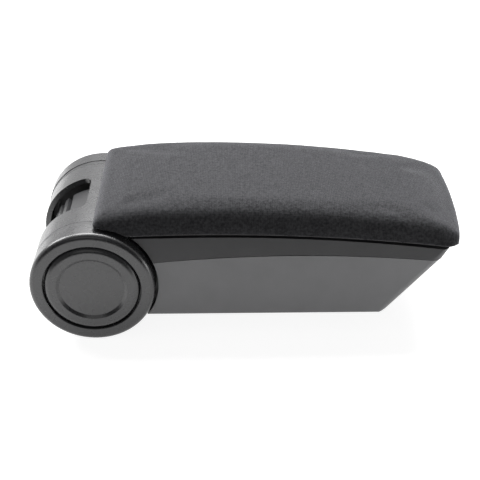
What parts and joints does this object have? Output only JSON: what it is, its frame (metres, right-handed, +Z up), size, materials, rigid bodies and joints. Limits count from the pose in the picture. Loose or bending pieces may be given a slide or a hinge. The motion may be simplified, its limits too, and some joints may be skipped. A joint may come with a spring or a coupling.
{
  "type": "car centre armrest",
  "caption": "Folding car centre armrest: a hinge barrel with a push disc, an arm with a storage bin, and a padded fabric lid that opens about the barrel's axis.",
  "frame": {"origin": "middle of the hinge barrel's axis, where the centre line of the bracket socket meets it", "axes": "+X along the arm to its front, Y along the barrel's axis with the push disc at -Y, +Z up with the arm folded down"},
  "size_m": [0.3319, 0.136, 0.1138],
  "materials": {
    "hub_plastic": "moulded glass filled nylon, fine grain",
    "bolt_steel": "zinc plated",
    "barrel_plastic": "smooth satin",
    "ring_plastic": "smooth satin",
    "disc_plastic": "smooth satin",
    "cheek_plastic": "moulded",
    "bush_plastic": "natural acetal",
    "bin_plastic": "fine moulded grain, satin",
    "frame_plastic": "fine moulded grain, satin",
    "mat_rubber": "matt",
    "bumper_rubber": "matt",
    "magnet_ferrite": "matt ferrite",
    "plate_steel": "zinc plated",
    "base_plastic": "moulded",
    "pad_foam": "open cell foam",
    "cover_fabric": "fine heathered knit, laminated",
    "spring_steel": "spring wire",
    "pawl_steel": "sintered steel"
  },
  "bodies": {
    "hub": {"hub_core": "hub_plastic", "pivot_bolt": "bolt_steel", "pivot_nut": "bolt_steel", "pivot_washers": "bolt_steel"},
    "arm": {"drum_shell": "barrel_plastic", "cheek_near": "cheek_plastic", "cheek_far": "cheek_plastic", "bush_near": "bush_plastic", "bush_far": "bush_plastic", "ring_near": "ring_plastic", "ring_far": "ring_plastic", "cap_far": "disc_plastic", "storage_bin": "bin_plastic", "bin_mat": "mat_rubber", "upper_frame": "frame_plastic", "frame_screws": "bolt_steel", "saddle_screws": "bolt_steel", "pawl_guide": "hub_plastic", "lid_bumpers": "bumper_rubber", "catch_magnet": "magnet_ferrite", "button_spring": "spring_steel", "pawl_spring": "spring_steel"},
    "lid": {"catch_plate": "plate_steel", "lid_base": "base_plastic", "pad_foam": "pad_foam", "pad_cover": "cover_fabric"},
    "button": {"release_button": "disc_plastic"},
    "catch": {"pawl": "pawl_steel"}
  },
  "joints": [
    {"name": "arm_fold", "type": "hinge", "parent": "hub", "child": "arm", "pos_m": [0, 0, 0], "axis": [0, -1, 0], "range_deg": [0, 90]},
    {"name": "lid_hinge", "type": "hinge", "parent": "arm", "child": "lid", "pos_m": [0, 0, 0], "axis": [0, -1, 0], "range_deg": [0, 75]},
    {"name": "button_press", "type": "slide", "parent": "arm", "child": "button", "axis": [0, 1, 0], "range_m": [0, 0.003], "stiffness_N_per_m": 1200, "springref_m": -0.003, "deforming": ["button_spring"]},
    {"name": "pawl_slide", "type": "slide", "parent": "arm", "child": "catch", "axis": [1, 0, 0], "range_m": [0, 0.003], "deforming": ["pawl_spring"]}
  ],
  "couplings": [
    {"joint": "pawl_slide", "follows": "button_press", "ratio": 1}
  ]
}
